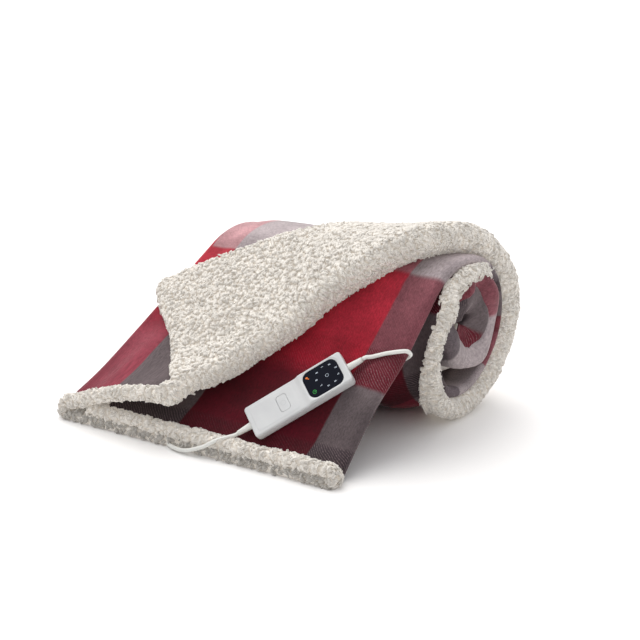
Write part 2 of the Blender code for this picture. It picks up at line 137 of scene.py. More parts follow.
# The sky is bright behind the throw and above it, and dimmer in front.
add = partial(node, world.node_tree)
facing = add("VECTOR DOT_PRODUCT", add("TexCoord", out="Generated"), SKY_SIDE)
sky = add("MapRange", facing, *SKY_SHARES)
add(world.node_tree.nodes["Background"], Color=linear("#FDFDFF"), Strength=sky)

light = bpy.data.lights.new("window_light", "SUN")
light.angle, light.energy, light.color = radians(SUN_SPREAD), SUN_STRENGTH, linear("#FFFDF9")[:3]
linked("window_light", light).rotation_euler = Vector(SUN_SIDE).to_track_quat("Z", "Y").to_euler()
bpy.context.scene.view_settings.view_transform = "Standard"

# ------------------------------------------------------------------ handset
# The hand control: two moulded shells in white ABS that meet round the middle. A soft step over
# the full width carries the display, a dark glossy window with printed marks, and a flush key
# lies below it. The maker's printed name is left off.
HANDSET = Matrix(((0.551352, -0.821571, 0.145023, 0.11201), (0.664266, 0.327146, -0.672106, -0.10044),
                  (0.504739, 0.466901, 0.726114, 0.07408), (0, 0, 0, 1)))  # x runs to its display's end
CASE = Vector((0.145, 0.047, 0.0155))
CASE_CORNER = 0.0042
EDGE = 0.0024  # rounding of the case's upper edge
JOINT = 0.0072  # height at which the shells meet
GAP = 0.0003  # clearance round each fitted piece
OPENING_TOP = 0.03  # the tools that cut the openings end above the case
STEP_AT, STEP_LONG, STEP_RISE = 0.0078, 0.0080, 0.0028
DISH_DEPTH, DISH_FROM, DISH_WIDE = 0.0008, 0.0004, 0.0034  # the shallow dish round the display
DISPLAY = Vector((0.0500, 0.0400, 0.0016))
DISPLAY_AT, DISPLAY_CORNER, DISPLAY_TOP = 0.0385, 0.0105, 0.0175
KEY = Vector((0.0145, 0.0240, 0.0022))
KEY_AT, KEY_CORNER, KEY_PROUD, KEY_TRAVEL = -0.0215, 0.0042, 0.0004, 0.0008
PANEL = Vector((0.0640, 0.0385, 0.00035))  # the faint raised panel round the key
PANEL_AT, PANEL_CORNER, PANEL_SLOPE = -0.0345, 0.006, 0.0014

# White ABS, injection moulded with a satin finish: a soft highlight on each rounded edge.
abs_plastic, add, shader = material("white_abs")
where = add("TexCoord", out="Object")
grain = add("TexNoise", Vector=where, Scale=2400.0, Detail=2.0)
handled = add("TexNoise", Vector=where, Scale=30.0, Detail=3.0)
add(shader, Base_Color=add("ValToRGB", handled, stops=((0.3, "#CCCDCE"), (0.7, "#D5D6D6"))),
     Roughness=add("MapRange", handled, To_Min=0.30, To_Max=0.40),
     Normal=add("Bump", Height=grain, Strength=0.10, Distance=0.0001))

# Smoked acrylic over black print, polished: almost black, with a clear reflection.
smoked = material("smoked_acrylic", Base_Color=linear("#060A19"), Roughness=0.09,
                  Specular_IOR_Level=0.14)[0]

# Screen-printed ink, dull. The display's marks are lit a little from behind.
prints = {name: material(name, Roughness=0.5, Base_Color=linear(code), Emission_Color=linear(code),
                         Emission_Strength=glow)[0]
          for name, code, glow in (("white_print", "#C9D2DC", 0.10), ("orange_print", "#E0701A", 0.25),
                                   ("green_print", "#2FA043", 0.15))}
ring_print = material("grey_print", Roughness=0.5, Base_Color=linear("#C3C6C6"))[0]


def step_up(x, start, stop):
    """Rises smoothly from 0 to 1 between two places."""
    t = np.clip((x - start) / (stop - start), 0, 1)
    return t * t * (3 - 2 * t)


def inside_by(x, y, long, wide, corner):
    """How far a place lies inside a rounded rectangle round the origin."""
    qx, qy = np.abs(x) - long / 2 + corner, np.abs(y) - wide / 2 + corner
    return corner - np.minimum(np.maximum(qx, qy), 0) - np.hypot(np.maximum(qx, 0), np.maximum(qy, 0))


def rounded_outline(long, wide, corner, at):
    """The outline of a rounded rectangle round a place on the handset's x axis."""
    line = []
    for n, (sx, sy) in enumerate(((1, 1), (-1, 1), (-1, -1), (1, -1))):
        for k in range(13):
            angle = radians(90 * n + 7.5 * k)
            line.append((at + sx * (long / 2 - corner) + corner * cos(angle),
                         sy * (wide / 2 - corner) + corner * sin(angle)))
    return line


def prism(line, low, high):
    """Points and faces of an upright block over a closed outline."""
    count = len(line)
    points = [(x, y, z) for z in (low, high) for x, y in line]
    faces = [tuple(range(count))[::-1], tuple(range(count, 2 * count))]
    return points, faces + [(k, (k + 1) % count, count + (k + 1) % count, count + k) for k in range(count)]


def placed(name, blocks, made_of, body="blanket"):
    """One piece made of blocks given in the handset's own frame."""
    points, faces = [], []
    for block_points, block_faces in blocks:
        faces += [tuple(k + len(points) for k in face) for face in block_faces]
        points += [HANDSET @ Vector(p) for p in block_points]
    piece = solid(name, points, faces, made_of, body)
    piece.data.set_sharp_from_angle(angle=radians(35))
    return piece


def grid_faces(index):
    """The faces of a grid of points."""
    return np.stack([index[:-1, :-1], index[1:, :-1], index[1:, 1:], index[:-1, 1:]], -1).reshape(-1, 4)


def cover_block(rows=161, columns=61):
    """The upper shell before its openings are cut: a dense grid of heights with a wall down to the
    joint. The grid's lines lie closer together near the case's edges."""
    t, v = (np.linspace(-1, 1, n) for n in (rows, columns))
    t, v = (np.sign(a) * (1 - (1 - np.abs(a)) ** 1.6) for a in (t, v))
    x = (t * CASE.x / 2)[:, None] + np.zeros(columns)
    past = np.maximum(np.abs(x) - CASE.x / 2 + CASE_CORNER, 0)
    y = (CASE.y / 2 - CASE_CORNER + np.sqrt(CASE_CORNER ** 2 - past ** 2)) * v
    inside = np.clip(inside_by(x, y, CASE.x, CASE.y, CASE_CORNER), 0, None)
    z = CASE.z - EDGE + np.sqrt(EDGE ** 2 - (EDGE - np.minimum(inside, EDGE)) ** 2)
    z = z + STEP_RISE * step_up(x, STEP_AT - STEP_LONG / 2, STEP_AT + STEP_LONG / 2)
    beyond = -inside_by(x - DISPLAY_AT, y, DISPLAY.x, DISPLAY.y, DISPLAY_CORNER)
    z = z - DISH_DEPTH * (1 - step_up(beyond, DISH_FROM, DISH_WIDE))
    on_panel = inside_by(x - PANEL_AT, y, PANEL.x, PANEL.y, PANEL_CORNER)
    z = z + PANEL.z * step_up(on_panel, 0.0, PANEL_SLOPE)
    index = np.arange(rows * columns).reshape(rows, columns)
    faces = grid_faces(index).tolist()
    points = np.stack([x, y, z], -1).reshape(-1, 3).tolist()
    rim = np.concatenate([index[:-1, 0], index[-1, :-1], index[:0:-1, -1], index[0, :0:-1]]).tolist()
    foot = [len(points) + k for k in range(len(rim))]
    points += [(points[k][0], points[k][1], JOINT + GAP) for k in rim]
    faces += [(foot[k - 1], foot[k], rim[k], rim[k - 1]) for k in range(len(rim))]
    return points, faces + [foot[::-1]]


def cut_mesh(block, cutters):
    """A block with openings cut in it, still in the handset's own frame."""
    made = [linked("cover", mesh_of("cover", *given)) for given in [block] + cutters]
    for knife in made[1:]:
        opening = made[0].modifiers.new("opening", "BOOLEAN")
        opening.operation, opening.solver, opening.object = "DIFFERENCE", "EXACT", knife
    mesh = bpy.data.meshes.new_from_object(made[0].evaluated_get(bpy.context.evaluated_depsgraph_get()))
    for gone in made:
        bpy.data.objects.remove(gone)
    return [tuple(v.co) for v in mesh.vertices], [tuple(p.vertices) for p in mesh.polygons]


openings = [prism(rounded_outline(piece.x + 2 * GAP, piece.y + 2 * GAP, corner, at), low - GAP,
                  OPENING_TOP)
            for piece, corner, at, low in (
                (DISPLAY, DISPLAY_CORNER, DISPLAY_AT, DISPLAY_TOP - DISPLAY.z),
                (KEY, KEY_CORNER, KEY_AT, CASE.z + KEY_PROUD - KEY.z - KEY_TRAVEL))]
cover = placed("handset_upper_shell", [cut_mesh(cover_block(), openings)], abs_plastic)
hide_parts("handset_cover")


def finished(made_of, *names):
    """CAD pieces that stay as they are and get a better material."""
    for name in names:
        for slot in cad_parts[name].material_slots:
            slot.link = "OBJECT"
            slot.material = made_of


finished(abs_plastic, "handset_base", "power_key")
finished(smoked, "display_window")

# The display's marks: nine numbers round a ring for the hours, a warmth mark and a switch mark.
# Each number is made of up to seven strokes, named a to g.
STROKES = "bc abged abgcd fgbc afgcd afgedc abc abcdefg abcdfg".split()
BARS = {"a": (0, 2, 1, 2), "b": (1, 1, 1, 2), "c": (1, 0, 1, 1), "d": (0, 0, 1, 0), "e": (0, 0, 0, 1),
        "f": (0, 1, 0, 2), "g": (0, 1, 1, 1)}
RING_AT, RING = (DISPLAY_AT + 0.0064, 0.0008), 0.0150
INK_FROM, INK_TO = 0.00001, 0.00006  # the print's foot and top over what carries it


def bar(x0, y0, x1, y1, thick, low=DISPLAY_TOP):
    """A thin printed stroke between two places."""
    way = Vector((x1 - x0, y1 - y0)).normalized() * thick / 2
    across = Vector((-way.y, way.x))
    a, b = Vector((x0, y0)) - way, Vector((x1, y1)) + way
    corners = [tuple(p) for p in (a - across, b - across, b + across, a + across)]
    return prism(corners, low + INK_FROM, low + INK_TO)


def hoop(at, radius, thick, low=DISPLAY_TOP, start=0, stop=360):
    """A thin printed ring or arc, between two angles in degrees."""
    angles = np.radians(np.linspace(start, stop, 25))
    line = [(at[0] + radius * cos(angle), at[1] + radius * sin(angle)) for angle in angles]
    return [bar(*p, *q, thick, low) for p, q in zip(line, line[1:])]


def figure(value, at, size=0.0012, thick=0.00055):
    """A number in plain strokes, read with the handset upright, display at the top."""
    strokes = [BARS[stroke] for stroke in STROKES[value - 1]]
    return [bar(at[0] + (y0 - 1) * size, at[1] - (x0 - 0.5) * size,
                at[0] + (y1 - 1) * size, at[1] - (x1 - 0.5) * size, thick) for x0, y0, x1, y1 in strokes]


white = hoop(RING_AT, 0.0021, 0.0005)
for k in range(9):
    angle = radians(94 - 40 * k)
    white += figure(k + 1, (RING_AT[0] + RING * cos(angle), RING_AT[1] + RING * sin(angle)))
placed("display_numbers", white, prints["white_print"])
x, y = DISPLAY_AT - 0.0185, 0.0112
placed("warmth_mark", [bar(x - 0.0016, y + 0.0016, x + 0.0016, y - 0.0014, 0.0011),
                       bar(x - 0.0004, y + 0.0024, x + 0.0010, y + 0.0012, 0.0009)], prints["orange_print"])
x, y = DISPLAY_AT - 0.0172, -0.0112
placed("switch_mark", hoop((x, y), 0.0024, 0.0008, start=35, stop=325) + [bar(x, y, x + 0.0026, y, 0.0008)],
       prints["green_print"])
placed("key_ring_print", hoop((KEY_AT, 0.0), 0.0034, 0.0004, CASE.z + KEY_PROUD), ring_print, "key")

# ------------------------------------------------------------------ leads
# Two round leads in soft white PVC, extruded. One goes from the handset into the hem. The mains
# lead goes over the right fold and under the drape, where its spare length is coiled for storage.
CORD = 0.0054
# Soft white PVC, extruded: a faint grain and a broad highlight along the lead.
pvc, add, shader = material("white_pvc", Roughness=0.48, Base_Color=linear("#E9E9E4"))
grain = add("TexNoise", Vector=add("TexCoord", out="Object"), Scale=900.0, Detail=2.0)
add(shader, Normal=add("Bump", Height=grain, Strength=0.12, Distance=0.0002))

RELIEF, RELIEF_HEIGHT = 0.020, 0.0078  # how far each relief stands out, and its height in the case
# Points that the leads run through, in tenths of a millimetre here and then in metres.
INNER_ROUTE = np.array((
    (2504, 664, 275), (2440, 586, 245), (2336, 503, 168), (2229, 454, 113), (2131, 408, 72),
    (2053, 383, 54), (1981, 368, 47), (1879, 361, 46), (1790, 377, 40), (1749, 396, 38),
    (1719, 440, 40))) / 1e4
MAINS_ROUTE = np.array((
    (3738, 2155, 1303), (3820, 2192, 1338), (3916, 2236, 1378), (4016, 2277, 1411),
    (4085, 2320, 1428), (4132, 2385, 1422), (4135, 2450, 1362), (4080, 2494, 1300),
    (3985, 2498, 1220), (3880, 2465, 1115), (3785, 2405, 990), (3705, 2365, 870), (3640, 2335, 670),
    (3580, 2310, 460), (3510, 2290, 270), (3405, 2260, 120), (3250, 2215, 45), (3050, 2150, 30),
    (2860, 2080, 40))) / 1e4
PLUG_ROUTE = np.array((
    (1625, 1640, 40), (1550, 1545, 50), (1465, 1500, 69), (1365, 1500, 70))) / 1e4
COIL_AT = Vector((0.222, 0.188, 0.0))
COIL_MIDDLE = 0.031  # radius at the middle of its turns
COIL_FLOOR = 0.0014
BESIDE, ON_TOP = 0.92, 0.95  # spacing of the coil's turns in diameters


def smooth_route(route, spacing):
    """Points at an even spacing on a smooth curve through the route's own points."""
    line = [Vector(p) for p in route]
    line = [line[0] * 2 - line[1]] + line + [line[-1] * 2 - line[-2]]
    dense = []
    for a, b, c, d in zip(line, line[1:], line[2:], line[3:]):
        for k in range(24):
            t = k / 24
            dense.append(0.5 * (2 * b + (c - a) * t + (2 * a - 5 * b + 4 * c - d) * t * t
                                + (3 * b - a - 3 * c + d) * t ** 3))
    dense.append(line[-2])
    run = np.cumsum([0.0] + [(b - a).length for a, b in zip(dense, dense[1:])])
    places = np.linspace(0, run[-1], max(2, round(run[-1] / spacing)) + 1)
    flat = np.array(dense)
    return [Vector([np.interp(s, run, flat[:, k]) for k in range(3)]) for s in places]


def relief_end(side):
    """Where a lead leaves its relief, and a point one diameter further out."""
    out = CASE.x / 2 + RELIEF + 2 * GAP
    return [HANDSET @ Vector((side * (out + more), 0, RELIEF_HEIGHT)) + MIDDLE for more in (0.0, CORD)]


def coil_turns(turns=8.0, steps=20, start=17.0, stop=197.0):
    """The stored turns: three beside each other, in layers, from the lead's side to the plug's."""
    points = []
    whole = int(turns * steps) + round((stop - start) / 360 * steps)
    for k in range(whole + 1):
        turn = k / steps
        lane = turn % 3 if int(turn / 3) % 2 == 0 else 3 - turn % 3
        radius = COIL_MIDDLE + (lane - 1.5) * CORD * BESIDE
        height = COIL_FLOOR + CORD * (0.52 + ON_TOP * min(turn / 3, 2.2))
        angle = radians(start) + 2 * pi * turn
        points.append(COIL_AT + Vector((radius * cos(angle), radius * sin(angle), height)))
    return points


def tube(points, side_count=10):
    """Points and faces of a round tube along a line, closed at both ends."""
    line = np.array(points)
    ahead = np.gradient(line, axis=0)
    ahead /= np.linalg.norm(ahead, axis=1)[:, None]
    side = np.cross(ahead[0], (0, 0, 1))
    angles = np.arange(side_count) * 2 * pi / side_count
    rings = []
    for spot, way in zip(line, ahead):
        side = side - way * side.dot(way)
        side /= np.linalg.norm(side)
        up = np.cross(way, side)
        rings.append(spot + CORD / 2 * (np.cos(angles)[:, None] * side + np.sin(angles)[:, None] * up))
    last = (len(line) - 1) * side_count
    faces = [tuple(range(side_count)), tuple(range(last, last + side_count))[::-1]]
    for low in range(0, last, side_count):
        high = low + side_count
        for n in range(side_count):
            m = (n + 1) % side_count
            faces.append((high + n, high + m, low + m, low + n))
    return np.vstack(rings), faces


def lead(name, route, cad):
    """A free lead along its route, in place of its plain solids."""
    points = [p - MIDDLE for p in smooth_route(route, CORD * 0.6)]
    piece = solid(name, *tube(points), pvc)
    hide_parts(*cad)


lead("handset_lead", [*relief_end(-1), *INNER_ROUTE], ["inner_lead"])
lead("mains_cable", [*relief_end(1), *MAINS_ROUTE, *coil_turns(), *PLUG_ROUTE],
     ["mains_lead", "mains_lead_coil", "plug_lead"])
finished(pvc, "inner_lead_relief", "mains_lead_relief", "plug_body")

# Nickel-plated brass, turned: a bright, slightly warm metal.
nickel = material("nickel_plate", Roughness=0.22, Metallic=1.0, Base_Color=linear("#D2CDC4"))[0]
finished(nickel, "plug_pin_1", "plug_pin_2")

# A strap of woven polyester, dyed black: dull, with fine ribs.
strap, add, shader = material("black_polyester_strap", Roughness=0.8, Sheen_Weight=0.2)
weave = add("TexWave", Vector=add("TexCoord", out="Object"), Scale=900.0, Distortion=1.0, out="Fac")
add(shader, Base_Color=add("ValToRGB", weave, stops=((0.0, "#17171A"), (1.0, "#2A2A2E"))))
finished(strap, "coil_tie")

# ------------------------------------------------------------------ plaid face
# A plaid velvet flannel, woven in crimson, rose and greys and brushed. The throw is folded in
# three along its length, rolled up from its far end and draped forward from the top of the roll.
# The right part of the top layer is turned back diagonally, and goes on as a turned hem.
STRIP = 0.405  # the folded strip, between the centres of its two side folds
FACE = 0.0015  # thickness of the face cloth
LINING = 0.0058  # the pile lining, lying pressed between layers
SEAM, REST = 0.0003, 0.0005  # gaps between the sewn cloths, and between layers that rest
LOOSE = 0.0025  # and more where a layer lies loose
HEM_PUFF, HEM_REACH = 0.0032, 0.045  # the lining is this much thicker at the front hem
FOLD_PRESS = 0.72  # the lining's thickness inside a side fold, as a share
INNER_HEM = 0.013  # the middle layer's hem lies this far inside the left fold
INNER_SET = 0.036  # and this much further at the front
SET_OUT = 0.0030  # the lower layer's front hem stands out by this much
LEFT_SET = 0.010  # the drape's left fold stands back by this much
LEFT_DROP = 0.0065  # and the top layer droops there
LEFT_PUFF, LEFT_REACH = -0.002, 0.035  # and lies lower at its front hem
LEFT_WIDE, LEFT_TUCK = 0.014, 0.006  # half width of the left fold, and how much less at the front
RIGHT_SET = 0.008  # the drape's right fold stands back near the hem
FOOT = 0.010  # flat strip of the front hem on the floor
BEND = 0.022  # radius in which the drape leaves the floor
PITCH = 0.0265  # one turn of the roll
STEP = radians(20)  # one station's share of a turn
TIP = 0.174  # where the top layer's hem meets the turned corner
TIP_LIFT, TIP_REACH = 0.037, 0.095  # the hem rises to it by this much, and this far along
LAP = 2 * FACE + SEAM + LOOSE
ROLL_SWELL, INNER_SWELL = 0.006, 0.012  # the rolled folds swell by this, and inwards by this much more
PUFF, PUFF_VARIES, TUCK = 0.003, 0.016, 0.030  # they stand out, bulge by turns, and tuck in at the core
CLEAR, MEETS_WITHIN = 0.0004, 0.022  # gap under the handset, and how far round it the cloth follows
MOST_DOWN, MOST_UP = 0.004, 0.007  # how far it gives way and rises
RIGHT_FLAT, LEFT_FLAT = 0.025, 0.045  # flat lengths in the side folds
BOTTOM_SLACK = 1.10  # and the bottom layer's, as a share of its width

End = namedtuple("End", "x front centre_y centre_z radius")
ENDS = (End(0.0, 0.0, 0.345, 0.0980, 0.0880), End(STRIP, 0.108, 0.365, 0.1400, 0.0835))

# The turned-back corner, in millimetres: length along the strip, where its fold and its own edge lie
# across the strip, and how high the fold stands over the layer under it.
TURNS = np.array((
    (0, 174, 168, 1), (20, 174, 166, 3), (43, 177, 160, 6), (60, 182, 152, 9), (95, 202, 127, 13),
    (140, 225, 82, 16), (180, 250, 22, 18), (198, 260, 0, 18), (214, 266, -5, 18), (230, 272, 13, 19),
    (248, 281, 41, 20), (296, 315, 103, 21), (340, 357, 160, 21), (375, 385, 205, 18), (450, 401, 270, 15),
    (510, 408, 300, 22), (580, 410, 335, 17), (640, 410, 368, 9), (700, 412, 398, 0), (735, 416, 410, -4.5),
    (780, 419, 415, -4.5), (880, 417, 413, -4.5), (930, 405, 401, -4.5), (1000, 385, 381, -4.5),
    (1600, 375, 371, -4.5))) / 1000

# How far the roll hangs out below its even turns, in millimetres: length along the strip, how far it
# hangs at its right end, and by how much more it bellies out left of that end.
SAGS = np.array((
    (450, 0, 0), (510, 4, 1), (580, 14, 5), (640, 26, 11), (675, 21, 20), (700, 8, 32), (730, -3, 34),
    (770, -8, 20), (820, -8, 6), (880, -4, 0), (920, 2, 0), (970, 14, 2), (1020, 22, 4), (1070, 8, 2),
    (1120, -6, 0), (1180, 0, 0), (1260, 8, 0), (1600, 0, 0))) / 1000

# Soft creases in each layer, in millimetres: the middle along and across, half the length and half the
# width, the height, which is below zero in a trough, and the turn from the strip's length in degrees.
CREASES = {
    "middle": ((215, 300, 75, 16, 5, -18), (190, 345, 60, 13, -4, 12), (150, 372, 45, 10, 3.5, 30),
               (285, 372, 50, 12, -3.5, -5), (60, 230, 60, 14, 2.2, 60), (40, 350, 40, 12, -2, 70)),
    "turned": ((130, 150, 70, 20, -5, 40), (215, 120, 80, 22, 5.5, -35), (235, 210, 70, 18, -5, -55),
               (300, 240, 80, 22, 5, -50), (175, 60, 60, 18, -4.5, 75), (330, 200, 60, 15, -4, -60)),
    "top": ((110, 60, 80, 22, 3.5, 15), (260, 30, 80, 20, -3.5, 0), (430, 120, 70, 20, 5, 80),
            (560, 90, 80, 20, -5, 85), (640, 250, 100, 18, 4.5, 90)),
}


def eased(table, column, at):
    """A smooth curve through a table's rows, by its first column."""
    x, y = table[:, 0], table[:, column]
    slope = np.gradient(y, x)
    k = np.clip(np.searchsorted(x, at, side="right") - 1, 0, len(x) - 2)
    gap = x[k + 1] - x[k]
    t = np.clip((at - x[k]) / gap, 0, 1)
    return ((2 * t ** 3 - 3 * t ** 2 + 1) * y[k] + (t ** 3 - 2 * t ** 2 + t) * gap * slope[k]
            + (3 * t ** 2 - 2 * t ** 3) * y[k + 1] + (t ** 3 - t ** 2) * gap * slope[k + 1])


def fade(along, reach):
    """Falls away from 1 at the front hem."""
    return np.exp(-((along / reach) ** 2))


def drape_angle(end):
    """Slope of the straight drape, tangent to the bend at the hem and to the roll."""
    dy, dz = end.centre_y - end.front - FOOT, end.centre_z - BEND
    return atan2(dz, dy) + asin((BEND + end.radius) / hypot(dy, dz))


def walk(end, leg, t):
    """Underside of the strip at one end: y, z and slope. Legs: foot, bend, drape, top, turns."""
    top = drape_angle(end)
    if leg == 0:
        return end.front + FOOT * t, 0.0, 0.0
    if leg == 1:
        return end.front + FOOT + BEND * sin(top * t), BEND * (1 - cos(top * t)), top * t
    if leg == 2:
        (y0, z0, _), (y1, z1, _) = walk(end, 1, 1), walk(end, 3, 0)
        return y0 + (y1 - y0) * t, z0 + (z1 - z0) * t, top
    slope = top * (1 - t) if leg == 3 else -STEP * t
    radius = end.radius - PITCH * (top - slope) / (2 * pi)
    return end.centre_y - radius * sin(slope), end.centre_z + radius * cos(slope), slope


PLACES = [(0, 0.0), (0, 0.3), (0, 0.6), (0, 0.9)] + [(1, k / 6) for k in range(6)]
PLACES += [(2, k / 52) for k in range(52)] + [(3, k / 12) for k in range(12)]
PLACES += [(4, k / 5) for k in range(60)] + [(4, 12 + k / 2) for k in range(73)]
COURSE = np.array([[walk(end, *place) for end in ENDS] for place in PLACES])


def laid(course, across, height, forward=0.0, upright=0.0):
    """Points of the strip at one station: across its width, at a height over its underside.
    The upright share of what lies over the middle layer goes straight up."""
    share = across / STRIP
    up = np.maximum(height - 2 * LINING - FACE - HEM_PUFF * 2, 0) * upright
    height = height - up
    (ya, za), (yb, zb) = ((y - height * sin(slope) - forward * cos(slope),
                           z + height * cos(slope) - forward * sin(slope)) for y, z, slope in course)
    return np.stack([across, ya + (yb - ya) * share, za + (zb - za) * share + up], -1) - np.array(MIDDLE)


centre_line = np.array([laid(c, np.array([STRIP / 2]), np.array([0.012]))[0] for c in COURSE])
ALONG = np.concatenate([[0.0], np.cumsum(np.linalg.norm(np.diff(centre_line, axis=0), axis=1))])
STATION = ALONG[:, None]

HEM_IN = np.array([0.0, 0.003, 0.006, 0.009, 0.013])
ANGLES = np.linspace(0, pi, 10)[1:-1]
LOOP = np.linspace(0, pi, 14)[1:-1]
LAYER = np.repeat(["middle", "right fold", "bottom", "left fold", "top", "loop", "turned"],
                  [62, len(ANGLES), 18, len(ANGLES), 54, len(LOOP), 42])


def on(*layers):
    """Marks the columns of some layers."""
    return np.isin(LAYER, layers)


def lining_thickness(along):
    """The lining is thicker towards the front hem."""
    return LINING + HEM_PUFF * fade(along, HEM_REACH)


def creased(layer, along, across):
    """Height that the creases of one layer add."""
    lift = 0.0
    for *sizes, turn in CREASES[layer]:
        along_at, across_at, long, wide, high = (value / 1000 for value in sizes)
        a, b, way = along - along_at, across - across_at, radians(turn)
        x, y = a * cos(way) + b * sin(way), b * cos(way) - a * sin(way)
        lift = lift + high * np.exp(-((x / long) ** 2) - (y / wide) ** 2)
    return lift


def seam_line(along):
    """The seam between the cloths across the strip at one station, from the middle layer's hem, column
    by column, and each column's place across the flat cloth."""
    pile = lining_thickness(along)
    settle = np.clip((0.80 - along) / 0.15, 0, 1)
    low = FACE + SEAM / 2
    middle = low + SEAM + 2 * pile + REST
    fold, edge, rise = (float(eased(TURNS, k, along)) for k in (1, 2, 3))
    loop = (LAP + rise) / 2
    reach = fold - loop

    def upper(u):
        """Height of the top layer: it rises to the turned corner's tip and droops at the left."""
        tip = TIP_LIFT * fade(along, TIP_REACH) * step_up(u, -0.02, 0.160)
        lift = tip / (1 + 14 * np.maximum(0, u - TIP)) + LEFT_PUFF * fade(along, LEFT_REACH)
        droop = LEFT_DROP * (1 - step_up(u, 0.0, 0.050)) * (1 - step_up(along, 0.38, 0.56))
        return middle + FACE + SEAM + REST + pile + LOOSE * settle + lift - droop

    hem_in = INNER_HEM + INNER_SET * (1 - step_up(along, 0.38, 0.60))
    u2 = np.concatenate([hem_in + HEM_IN, np.linspace(hem_in + 0.019, STRIP, 57)])
    h2 = middle + creased("middle", along, u2)
    half = (middle - low) / 2
    u3 = np.linspace(STRIP, 0, 18)
    left = (float(upper(np.array(0.0))) - low) / 2
    wide = min(left, LEFT_WIDE - LEFT_TUCK * fade(along, 0.030))
    u1 = np.linspace(0, reach, 54)
    # The turned part's last columns lie close together, at its own hem.
    share = np.concatenate([np.linspace(0, 1, 38)[:-1] * 0.94, [0.94, 0.955, 0.97, 0.985, 1.0]])
    u4 = reach + (edge - reach) * share
    h1 = upper(u1) + creased("top", along, u1)
    h4 = upper(np.maximum(u4, 0)) + LAP + rise * (1 - share) ** 1.5
    h4 = h4 + creased("turned", along, u4) * step_up(share, 0, 0.2)
    line = np.concatenate([np.stack(part, 1) for part in (
        (u2, h2), (STRIP + half * np.sin(ANGLES), low + half + half * np.cos(ANGLES)),
        (u3, np.full(18, low)), (-wide * np.sin(ANGLES), low + left - left * np.cos(ANGLES)),
        (u1, h1), (reach + loop * np.sin(LOOP), h1[-1] + loop - loop * np.cos(LOOP)), (u4, h4))])
    top_from = STRIP * (1 + BOTTOM_SLACK) + RIGHT_FLAT + LEFT_FLAT
    flat = np.concatenate([
        u2, STRIP + ANGLES / pi * RIGHT_FLAT, STRIP + RIGHT_FLAT + (STRIP - u3) * BOTTOM_SLACK,
        top_from - LEFT_FLAT + ANGLES / pi * LEFT_FLAT, top_from + u1,
        top_from + reach + loop * LOOP, top_from + reach + loop * pi + (reach - u4)])
    # The folds at the right end grow fat where the strip is rolled, and the whole roll sags.
    x, y = line.T
    fat = step_up(along, 0.74, 0.84) * step_up(x, 0.330, 0.400) * on("middle", "right fold", "bottom")
    lump = 1 + 0.7 * noise.noise(Vector((along * 24, 1.3, 9.1)))
    side = np.clip((y - low - half) / half, -1, 1)
    y += fat * lump * side * (ROLL_SWELL + INNER_SWELL * step_up(along, 0.90, 1.00) * (side < 0))
    belly = step_up(x, 0.05, 0.24) * (1 - step_up(x, 0.335, 0.395))
    y += eased(SAGS, 1, along) * step_up(x, 0.0, 0.26) + eased(SAGS, 2, along) * belly
    left_side = on("bottom", "left fold", "top") * (1 - step_up(along, 0.34, 0.52))
    x += LEFT_SET * left_side * (1 - step_up(x, 0.0, 0.110))
    x -= RIGHT_SET * (1 - step_up(along, 0.10, 0.21)) * step_up(x, 0.320, 0.405)
    return line, flat


def pressed(line):
    """Share of the lining's full thickness at each column: it is pressed inside the side folds."""
    near_fold = np.minimum(np.abs(line[:, 0] - STRIP), np.abs(line[:, 0]))
    share = FOLD_PRESS + (1 - FOLD_PRESS) * step_up(near_fold, 0.0, 0.030)
    return np.where(on("loop", "turned"), 1.0, np.where(on("top"), np.maximum(share, 0.85), share))


def left_of(line):
    """Unit vectors to the left of a line."""
    way = np.gradient(line, axis=0)
    way /= np.linalg.norm(way, axis=1)[:, None] + 1e-12
    return np.stack([-way[:, 1], way[:, 0]], axis=1)


def rolled_puffs(along, line):
    """The folds at the roll's right end bulge and tuck in by turns."""
    weight = step_up(along, 0.72, 0.80) * step_up(line[:, 0], 0.330, 0.410)
    bulge = np.array([noise.noise(Vector((along * 21, h * 30, 3.7))) for h in line[:, 1]])
    return weight * (PUFF + PUFF_VARIES * bulge - TUCK * step_up(along, 1.30, 1.46))


def handset_meets(points, under):
    """How far the middle layer is lifted to meet the handset's underside, as vectors."""
    back = np.array(HANDSET.inverted())
    local = points @ back[:3, :3].T + back[:3, 3]
    past_x, past_y = (np.maximum(np.abs(local[..., k]) - CASE[k] / 2, 0) for k in (0, 1))
    weight = (1 - step_up(np.hypot(past_x, past_y), 0.0, MEETS_WITHIN)) * under
    lift = weight * np.clip(-CLEAR - local[..., 2], -MOST_DOWN, MOST_UP)
    return lift[..., None] * np.array(HANDSET.col[2][:3])


def shell_mesh(name, near, far, flat, along, made_of, turn=1):
    """A closed thin sheet between two grids of points, with its flat sizes as its UV. The turn is -1
    where the first grid is the sheet's other side."""
    rows, columns = near.shape[:2]
    count = rows * columns
    index = np.arange(count).reshape(rows, columns)
    quads = [grid_faces(index), grid_faces(index)[:, ::-1] + count]
    for rim, start in ((index[:, 0], count), (index[:, -1], 0), (index[0], 0), (index[-1], count)):
        other = count - start
        quads.append(np.stack([rim[:-1] + start, rim[1:] + start, rim[1:] + other, rim[:-1] + other], -1))
    faces = np.concatenate(quads)[:, ::turn]
    piece = solid(name, np.concatenate([near, far]).reshape(-1, 3), faces, made_of)
    place = np.tile(np.stack([flat, along], -1).reshape(-1, 2), (2, 1))
    piece.data.uv_layers.new(name="flat").data.foreach_set("uv", place[faces.reshape(-1)].reshape(-1))
    return piece


